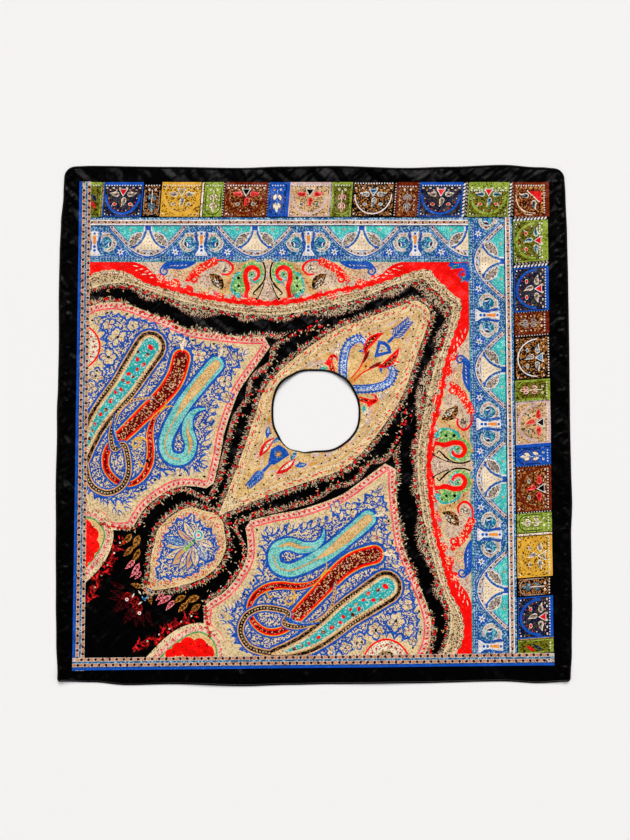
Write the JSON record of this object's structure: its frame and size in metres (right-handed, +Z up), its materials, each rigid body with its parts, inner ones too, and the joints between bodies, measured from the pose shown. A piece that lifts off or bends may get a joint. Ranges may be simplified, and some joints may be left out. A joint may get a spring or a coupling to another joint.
{
  "type": "silk bandana with a round neck opening, laid flat",
  "caption": "Square printed silk-satin bandana laid flat, with a round bound neck opening in its middle and a rolled hem on each side.",
  "frame": {"origin": "middle of the outline, on the surface that the cloth rests on", "axes": "+Z up out of the printed face, +Y towards the top edge, +X to the right as seen from above"},
  "size_m": [0.894, 0.9066, 0.0069],
  "materials": {
    "printed_silk": "satin",
    "hem_silk": "satin",
    "binding_silk": "matt satin"
  },
  "bodies": {
    "root": {"silk_panel_top": "printed_silk", "silk_panel_left": "printed_silk", "silk_panel_bottom": "printed_silk", "silk_panel_right": "printed_silk", "hem_top": "hem_silk", "hem_left": "hem_silk", "hem_bottom": "hem_silk", "hem_right": "hem_silk", "neck_binding": "binding_silk"}
  },
  "joints": []
}
